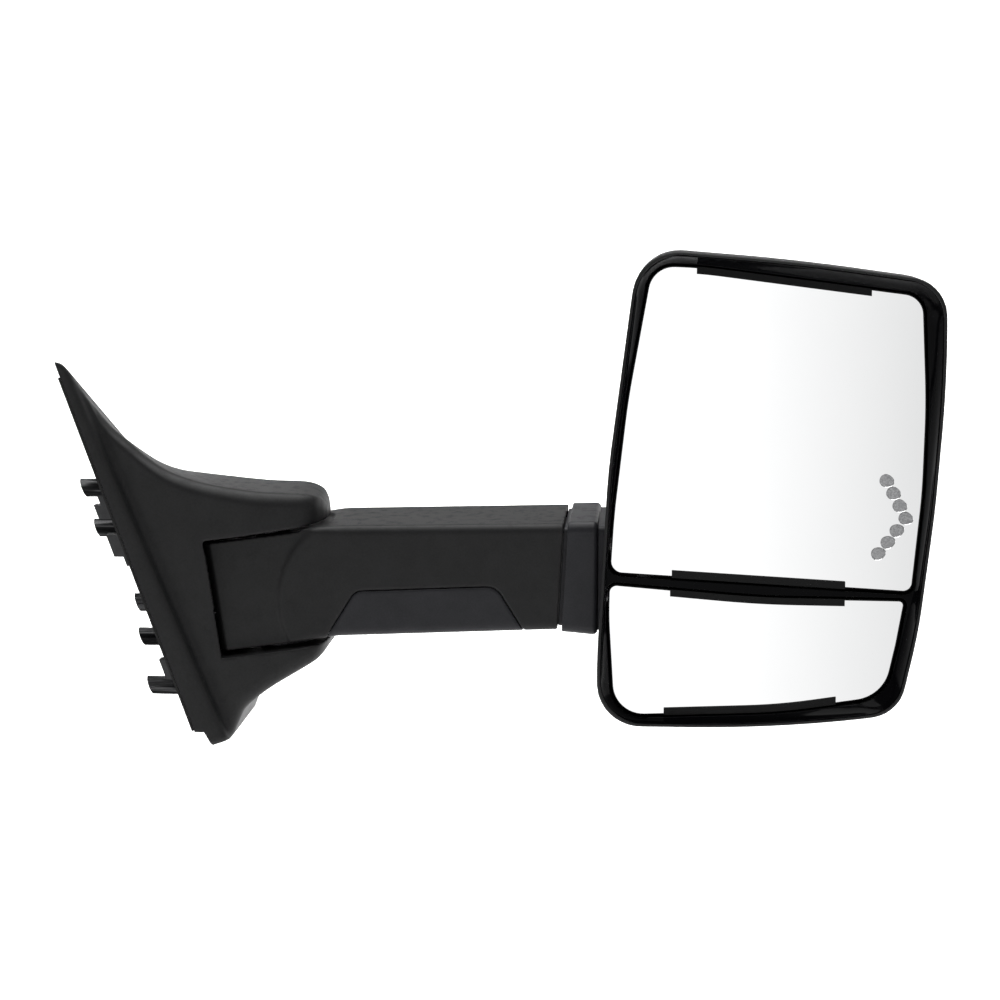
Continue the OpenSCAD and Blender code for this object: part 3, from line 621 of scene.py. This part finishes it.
def make_bezel():
    front, floor_y, back = RIM_Y + 0.8, GLASS_Y - 1.5, GLASS_Y + 2.0
    upper = grown(outline(UPPER), GLASS_GAP)
    lower = grown(outline(LOWER), GLASS_GAP)
    count = 3 * HEAD_RING
    rim = polar(outline(HEAD), HEAD_CENTRE, count)
    around = polar(densified(hull(np.concatenate([upper, lower])), 2.0), HEAD_CENTRE, count)
    body = prism_y("bezel_skin", grown(rim, -RIM_WALL - 0.05), front, back)
    mouth = grown(rim, -RIM_WALL - 0.75)
    rings = [at_y(mouth, front - 1)]
    for t in np.linspace(0, 1, 9):
        bow = 0.6 * math.sin(math.pi * t)
        ring = mouth * (1 - t) + around * t
        rings.append(at_y(grown(ring, bow), front + (floor_y - front) * t))
    minus(body, loft("recess", rings))
    minus(body, prism_y("upper_hole", upper, front, back + 1), prism_y("lower_hole", lower, front, back + 1))
    bevelled(body, 0.45, 3, 30)
    finished(body, "head", "gloss_black", "bezel")


# ---------------------------------------------------------------- glasses


def drop(spot, angle, grow=0.0):
    """Outline of one drop-shaped signal window."""
    a = np.linspace(0, 2 * math.pi, 40, endpoint=False)
    taper = 1 - 0.16 * np.cos(a)
    shape = np.stack([(4.7 + grow) * np.cos(a), (4.05 + grow) * np.sin(a) * taper], axis=1)
    c, s = math.cos(math.radians(angle)), math.sin(math.radians(angle))
    return shape @ np.array([[c, s], [-s, c]]) + np.array(spot)


def window_drops(grow=0.0):
    return [drop(w, -20 if i < 4 else 20, grow) for i, w in enumerate(WINDOWS)]


def within(point, loop):
    """Whether a point lies inside a closed outline."""
    x, z = point
    x0, z0 = loop[:, 0], loop[:, 1]
    x1, z1 = np.roll(x0, -1), np.roll(z0, -1)
    spans = (z0 > z) != (z1 > z)
    meets = x0[spans] + (z - z0[spans]) * (x1[spans] - x0[spans]) / (z1[spans] - z0[spans])
    return np.count_nonzero(meets > x) % 2 == 1


def flat_face(edge, holes):
    """Even triangles that fill an outline with holes, as corner indices into all its points."""
    points, borders = [], []
    for loop in [edge] + holes:
        first, count = len(points), len(loop)
        points += [Vector(p) for p in loop]
        borders += [(first + i, first + (i + 1) % count) for i in range(count)]
    found = delaunay_2d_cdt(points, borders, [], 0, 1e-7)
    sources = [origin[0] for origin in found[3]]
    corners = np.array(points)
    triangles = []
    for face in found[2]:
        tri = [sources[i] for i in face]
        middle = corners[tri].mean(axis=0)
        if within(middle, edge) and not any(within(middle, hole) for hole in holes):
            triangles.append(tri)
    return corners, triangles


def glass_plate(name, edge, holes, chamfer=0.3):
    """Flat glass with a fine chamfer round its front edge and round its holes."""
    loops = [edge] + holes
    front = [grown(edge, -chamfer)] + [grown(hole, chamfer) for hole in holes]
    points, triangles = flat_face(front[0], front[1:])
    full = np.concatenate(loops)
    count = len(points)
    layers = [at_y(points, GLASS_Y), at_y(full, GLASS_Y + chamfer), at_y(full, GLASS_Y + GLASS_T)]
    faces = list(triangles) + [[i + 2 * count for i in reversed(t)] for t in triangles]
    first = 0
    for loop in loops:
        for layer in (0, count):
            for i in range(len(loop)):
                a, b = first + i + layer, first + (i + 1) % len(loop) + layer
                faces.append((a, b, b + count, a + count))
        first += len(loop)
    plate = new_object(name, np.concatenate(layers), faces)
    plate.data.polygons.foreach_set("use_smooth", [False] * len(plate.data.polygons))
    return plate


def make_glasses():
    upper = glass_plate("upper_glass_plate", outline(UPPER), window_drops(LENS_FIT))
    finished(upper, "upper_mirror", "mirror_glass", "upper_glass")
    lower = glass_plate("lower_glass_plate", outline(LOWER), [])
    finished(lower, "lower_mirror", "mirror_glass", "lower_glass")
    front, back = GLASS_Y + LENS_SET_BACK, GLASS_Y + GLASS_T
    windows = [prism_y("signal_windows_lens", d, front, back) for d in window_drops()]
    lens = plus(windows[0], *windows[1:])
    lens.name = "signal_windows_lens"
    bevelled(lens, 0.2, 2)
    finished(lens, "upper_mirror", "signal_grey", "signal_windows")


# ---------------------------------------------------------------- materials


class Shader:
    """Small helper that adds nodes to one material."""

    def __init__(self, name):
        self.material = bpy.data.materials.new(name)
        self.material.use_nodes = True
        self.tree = self.material.node_tree
        self.surface = self.tree.nodes["Principled BSDF"]
        self.place = self.add("ShaderNodeTexCoord").outputs["Object"]

    def add(self, kind, **values):
        node = self.tree.nodes.new(kind)
        for key, value in values.items():
            setattr(node, key, value)
        return node

    def link(self, source, target):
        self.tree.links.new(source, target)

    def noise(self, size_mm, detail=2.0, rough=0.5, stretch=None):
        """Noise whose features are about size_mm across."""
        node = self.add("ShaderNodeTexNoise")
        node.inputs["Scale"].default_value = 1 / (size_mm * MM)
        node.inputs["Detail"].default_value = detail
        node.inputs["Roughness"].default_value = rough
        source = self.place
        if stretch:
            mapping = self.add("ShaderNodeMapping")
            mapping.inputs["Scale"].default_value = stretch
            self.link(source, mapping.inputs["Vector"])
            source = mapping.outputs["Vector"]
        self.link(source, node.inputs["Vector"])
        return node.outputs["Fac"]

    def cells(self, size_mm):
        """Rounded cells, as in a moulded leather grain."""
        node = self.add("ShaderNodeTexVoronoi", feature="SMOOTH_F1")
        node.inputs["Scale"].default_value = 1 / (size_mm * MM)
        self.link(self.place, node.inputs["Vector"])
        return node.outputs["Distance"]

    def ramp(self, source, low, high, start=0.35, end=0.65):
        """A number from low to high as the source goes from start to end."""
        node = self.add("ShaderNodeMapRange")
        node.inputs["From Min"].default_value = start
        node.inputs["From Max"].default_value = end
        node.inputs["To Min"].default_value = low
        node.inputs["To Max"].default_value = high
        self.link(source, node.inputs["Value"])
        return node.outputs["Result"]

    def tint(self, factor, first, second):
        node = self.add("ShaderNodeMix", data_type="RGBA")
        node.inputs["A"].default_value = (*first, 1)
        node.inputs["B"].default_value = (*second, 1)
        self.link(factor, node.inputs["Factor"])
        return node.outputs["Result"]

    def bump(self, height, depth_mm, strength=1.0, after=None):
        node = self.add("ShaderNodeBump")
        node.inputs["Strength"].default_value = strength
        node.inputs["Distance"].default_value = depth_mm * MM
        self.link(height, node.inputs["Height"])
        if after:
            self.link(after, node.inputs["Normal"])
        return node.outputs["Normal"]

    def edges(self):
        """Convex edges, from the mesh's own shape; used as the mask of a painted edge highlight."""
        return self.ramp(self.add("ShaderNodeNewGeometry").outputs["Pointiness"], 0, 1, 0.52, 0.6)

    def set(self, **values):
        for key, value in values.items():
            self.surface.inputs[key.replace("_", " ")].default_value = value


def shaded(colour, factor):
    return tuple(min(1.0, c * factor) for c in colour)


def add_product(shader, first, second, scale=1.0):
    """first + second * scale, kept between 0 and 1."""
    node = shader.add("ShaderNodeMath", operation="MULTIPLY_ADD", use_clamp=True)
    shader.link(second, node.inputs[0])
    node.inputs[1].default_value = scale
    shader.link(first, node.inputs[2])
    return node.outputs[0]


def grained_plastic(name, colour, rough=0.56, grain_mm=0.55, depth_mm=0.035, specular=0.4, mottle_and_highlight_brightness=2.4):
    """Moulded plastic with a fine grain, soft mottling and a painted highlight that lightens its convex
    edges.
    """
    s = Shader(name)
    mottling = s.noise(16, 3)
    flecks = s.noise(1.3, 2)
    tone = add_product(s, s.ramp(mottling, 0, 0.3, 0.3, 0.7), s.ramp(flecks, 0, 0.3, 0.3, 0.7))
    # Painted highlight: the convex edges are lightened in the base colour, on top of the random mottling.
    tone_and_edge_highlight = add_product(s, tone, s.edges(), 0.35)
    # The lightest tone serves both the random mottling and the painted edge highlight.
    s.link(s.tint(tone_and_edge_highlight, shaded(colour, 0.82), shaded(colour, mottle_and_highlight_brightness * 0.62)), s.surface.inputs["Base Color"])
    polish = add_product(s, s.noise(7, 3), flecks, 0.3)
    s.link(s.ramp(polish, rough + 0.06, rough - 0.07), s.surface.inputs["Roughness"])
    grain = s.bump(s.cells(grain_mm), depth_mm, 0.55)
    s.link(s.bump(s.noise(grain_mm * 0.4, 2), depth_mm * 0.5, 0.35, grain), s.surface.inputs["Normal"])
    s.set(Specular_IOR_Level=specular)
    return s.material


def gloss_plastic(name, colour):
    """High-gloss black with faint polishing haze."""
    s = Shader(name)
    s.link(s.tint(s.noise(30, 2), shaded(colour, 0.8), shaded(colour, 1.3)), s.surface.inputs["Base Color"])
    s.link(s.ramp(s.noise(5, 4), 0.07, 0.13), s.surface.inputs["Roughness"])
    s.link(s.bump(s.noise(9, 1), 0.02, 0.25), s.surface.inputs["Normal"])
    s.set(Specular_IOR_Level=0.04)
    return s.material


def cast_metal(name, colour, rough=0.5, metallic=0.55):
    """Sand-textured coated casting."""
    s = Shader(name)
    skin = s.noise(0.8, 4)
    s.link(s.tint(s.noise(6, 4), shaded(colour, 0.7), shaded(colour, 1.35)), s.surface.inputs["Base Color"])
    s.link(s.ramp(skin, rough - 0.08, rough + 0.12), s.surface.inputs["Roughness"])
    s.link(s.bump(skin, 0.09, 0.6), s.surface.inputs["Normal"])
    s.set(Metallic=metallic)
    return s.material


def turned_metal(name, colour, rough=0.3, stretch=(1, 1, 1)):
    """Drawn or turned metal with fine lines and dulled patches."""
    s = Shader(name)
    lines = s.noise(0.35, 2, 0.6, stretch)
    s.link(s.tint(s.noise(5, 3), shaded(colour, 0.75), shaded(colour, 1.12)), s.surface.inputs["Base Color"])
    s.link(s.ramp(lines, rough - 0.08, rough + 0.14), s.surface.inputs["Roughness"])
    s.link(s.bump(lines, 0.012, 0.5), s.surface.inputs["Normal"])
    s.set(Metallic=1.0)
    return s.material


def soft_material(name, colour, rough, pore_mm, depth_mm):
    """Rubber or foam with pores."""
    s = Shader(name)
    pores = s.cells(pore_mm)
    s.link(s.tint(s.noise(4, 3), shaded(colour, 0.8), shaded(colour, 1.35)), s.surface.inputs["Base Color"])
    s.link(s.ramp(pores, rough, rough - 0.12, 0, 0.7), s.surface.inputs["Roughness"])
    s.link(s.bump(pores, depth_mm, 0.8), s.surface.inputs["Normal"])
    s.set(Specular_IOR_Level=0.25)
    return s.material


def mirror_coating(name):
    """Silvered glass: bright, with the faintest tint and waviness."""
    s = Shader(name)
    silver = s.tint(s.noise(60, 2), (0.925, 0.932, 0.935), (0.95, 0.953, 0.955))
    s.link(silver, s.surface.inputs["Base Color"])
    s.link(s.ramp(s.noise(12, 3), 0.012, 0.035), s.surface.inputs["Roughness"])
    s.link(s.bump(s.noise(45, 1), 0.012, 0.2), s.surface.inputs["Normal"])
    s.set(Metallic=1.0)
    return s.material


def signal_lens(name):
    """Etched dots of a signal behind glass: a fine mesh of bright specks on grey."""
    s = Shader(name)
    specks = s.cells(0.8)
    tone = s.tint(s.ramp(specks, 0, 1, 0.2, 0.6), (0.25, 0.252, 0.258), (0.43, 0.433, 0.44))
    s.link(tone, s.surface.inputs["Base Color"])
    s.link(s.ramp(s.noise(1.2, 2), 0.22, 0.38), s.surface.inputs["Roughness"])
    s.link(s.bump(specks, 0.02, 0.3), s.surface.inputs["Normal"])
    s.set(Metallic=0.0, Specular_IOR_Level=0.3)
    return s.material


def make_materials():
    return {
        "black_texture": grained_plastic("black_texture", (0.0138, 0.0139, 0.0143), specular=0.18),
        "black_cover": grained_plastic("black_cover", (0.0178, 0.0180, 0.0208), 0.5, 0.5, 0.03, 0.2),
        "charcoal_plastic": grained_plastic(
            "charcoal_plastic", (0.0040, 0.0041, 0.0043), 0.4, 0.4, 0.02, 0.12
        ),
        "inner_plastic": grained_plastic("inner_plastic", (0.022, 0.022, 0.023), 0.5, 0.8, 0.02),
        "white_plastic": grained_plastic("white_plastic", (0.62, 0.60, 0.53), 0.42, 0.9, 0.015, 0.5, 1.6),
        "gloss_black": gloss_plastic("gloss_black", (0.0018, 0.0018, 0.0022)),
        "cast_alloy": cast_metal("cast_alloy", (0.036, 0.0365, 0.038), 0.42),
        "steel": turned_metal("steel", (0.56, 0.565, 0.57), 0.3, (0.05, 1, 1)),
        "dark_steel": turned_metal("dark_steel", (0.19, 0.195, 0.2), 0.42),
        "brass": turned_metal("brass", (0.66, 0.47, 0.22), 0.33),
        "rubber": soft_material("rubber", (0.017, 0.017, 0.018), 0.75, 0.9, 0.03),
        "foam": soft_material("foam", (0.016, 0.016, 0.016), 0.9, 0.7, 0.12),
        "mirror_glass": mirror_coating("mirror_glass"),
        "heater_film": grained_plastic("heater_film", (0.42, 0.16, 0.06), 0.5, 2.5, 0.02, 0.4, 1.6),
        "board_green": grained_plastic("board_green", (0.03, 0.16, 0.07), 0.4, 1.8, 0.02, 0.5, 1.6),
        "signal_grey": signal_lens("signal_grey"),
    }


MATERIALS = make_materials()


def dress(obj, slot):
    obj.data.materials.clear()
    obj.data.materials.append(MATERIALS[slot])


def finished(obj, body, slot, *nodes):
    """Gives a piece its material and its place in the frame."""
    dress(obj, slot)
    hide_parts(*nodes)
    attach(obj, body)
    return obj


def dress_cad_nodes():
    """Material and softly rounded edges for the CAD nodes that stay."""
    slots = {row["node"]: row["material_slot"] for row in frame["record"]["subparts"]}
    for name, obj in NODES.items():
        if obj.hide_render:
            continue
        obj.data.materials.clear()
        obj.data.materials.append(MATERIALS[slots[name]])
        weld = obj.modifiers.new("weld", "WELD")
        weld.merge_threshold = 0.01 * MM
        bevel = obj.modifiers.new("edges", "BEVEL")
        bevel.width = 0.35 * MM
        bevel.segments = 2
        bevel.limit_method = "ANGLE"
        bevel.angle_limit = math.radians(35)


# ---------------------------------------------------------------- stage

FLOOR_Z = -0.34
FLOOR_GLOW = 0.5
TABLE_LIGHT = 1.12
TABLE_DIMMING = 0.72
ROOM_LIGHT = 0.14
PAPER_LIGHT = 1.0
VIEW_AZIMUTH, VIEW_ELEVATION, VIEW_DISTANCE = 4.5, 9.0, 1.5
VIEW_TARGET = Vector((0.25505, 0.0, 0.0375))
LENS, SENSOR = 77.14, 36.0


def make_floor():
    """Pale floor that curves up into a backdrop."""
    back, bend, height, width, near = 3.8, 1.0, 1.2, 9.0, -0.85
    profile = [(near, FLOOR_Z), (0.0, FLOOR_Z), (back, FLOOR_Z)]
    for a in np.radians(np.linspace(90 / 16, 90, 16)):
        profile.append((back + bend * math.sin(a), FLOOR_Z + bend * (1 - math.cos(a))))
    profile.append((back + bend, FLOOR_Z + height))
    verts = [(x / MM, y / MM, z / MM) for y, z in profile for x in (-width, width)]
    faces = [(2 * i, 2 * i + 1, 2 * i + 3, 2 * i + 2) for i in range(len(profile) - 1)]
    floor = new_object("studio_floor", verts, faces)
    s = Shader("studio_floor")
    s.link(s.tint(s.noise(400, 2), (0.86, 0.86, 0.86), (0.89, 0.89, 0.89)), s.surface.inputs["Base Color"])
    s.set(Roughness=0.85, Specular_IOR_Level=0.2, Emission_Color=(1, 1, 1, 1), Emission_Strength=FLOOR_GLOW)
    floor.data.materials.append(s.material)


def make_light(name, location, target, size, watts, size_y=None):
    light = bpy.data.lights.new(name, "AREA")
    light.shape = "RECTANGLE"
    light.size = size
    light.size_y = size_y or size
    light.energy = watts
    obj = bpy.data.objects.new(name, light)
    bpy.context.scene.collection.objects.link(obj)
    obj.location = location
    obj.rotation_euler = (Vector(target) - Vector(location)).to_track_quat("-Z", "Y").to_euler()


def make_world():
    """Dim room above the horizon, and below it a white table that dims a little to the right.

    The camera itself sees plain white paper all round.
    """
    world = bpy.data.worlds.new("studio")
    world.use_nodes = True
    tree = world.node_tree
    direction = tree.nodes.new("ShaderNodeSeparateXYZ")
    tree.links.new(tree.nodes.new("ShaderNodeTexCoord").outputs["Generated"], direction.inputs["Vector"])

    def scaled(axis, start, end, low, high):
        node = tree.nodes.new("ShaderNodeMapRange")
        for name, value in (("From Min", start), ("From Max", end), ("To Min", low), ("To Max", high)):
            node.inputs[name].default_value = value
        tree.links.new(direction.outputs[axis], node.inputs["Value"])
        return node.outputs["Result"]

    def mixed(factor, first, second):
        node = tree.nodes.new("ShaderNodeMix")
        tree.links.new(factor, node.inputs["Factor"])
        tree.links.new(first, node.inputs["A"])
        node.inputs["B"].default_value = second
        return node.outputs["Result"]

    table = scaled("X", 0.03, 0.12, TABLE_LIGHT, TABLE_LIGHT * TABLE_DIMMING)
    light = mixed(scaled("Z", -0.01, 0.03, 0, 1), table, ROOM_LIGHT)
    seen = tree.nodes.new("ShaderNodeLightPath").outputs["Is Camera Ray"]
    background = tree.nodes["Background"]
    background.inputs["Color"].default_value = (1, 1, 1, 1)
    tree.links.new(mixed(seen, light, PAPER_LIGHT), background.inputs["Strength"])
    bpy.context.scene.world = world


def make_lights():
    make_light("overhead", (0.2, 0.3, 2.6), (0.25, 0.0, 0.0), 3.4, 122)
    make_light("backdrop", (0.3, 1.6, 2.6), (0.3, 4.2, 0.6), 4.0, 240, 1.6)
    make_world()


def make_camera():
    a, e = math.radians(VIEW_AZIMUTH), math.radians(VIEW_ELEVATION)
    back = Vector((math.sin(a) * math.cos(e), -math.cos(a) * math.cos(e), math.sin(e)))
    camera = bpy.data.cameras.new("camera")
    camera.lens, camera.sensor_width = LENS, SENSOR
    camera.clip_end = 60
    obj = bpy.data.objects.new("camera", camera)
    bpy.context.scene.collection.objects.link(obj)
    obj.location = VIEW_TARGET + back * VIEW_DISTANCE
    obj.rotation_euler = (-back).to_track_quat("-Z", "Y").to_euler()
    bpy.context.scene.camera = obj


# ---------------------------------------------------------------- build

make_base_cover()
make_arm()
make_head_shells()
make_sleeve()
make_bezel()
make_glasses()
dress_cad_nodes()
make_floor()
make_lights()
make_camera()
bpy.context.scene.view_settings.view_transform = "Standard"
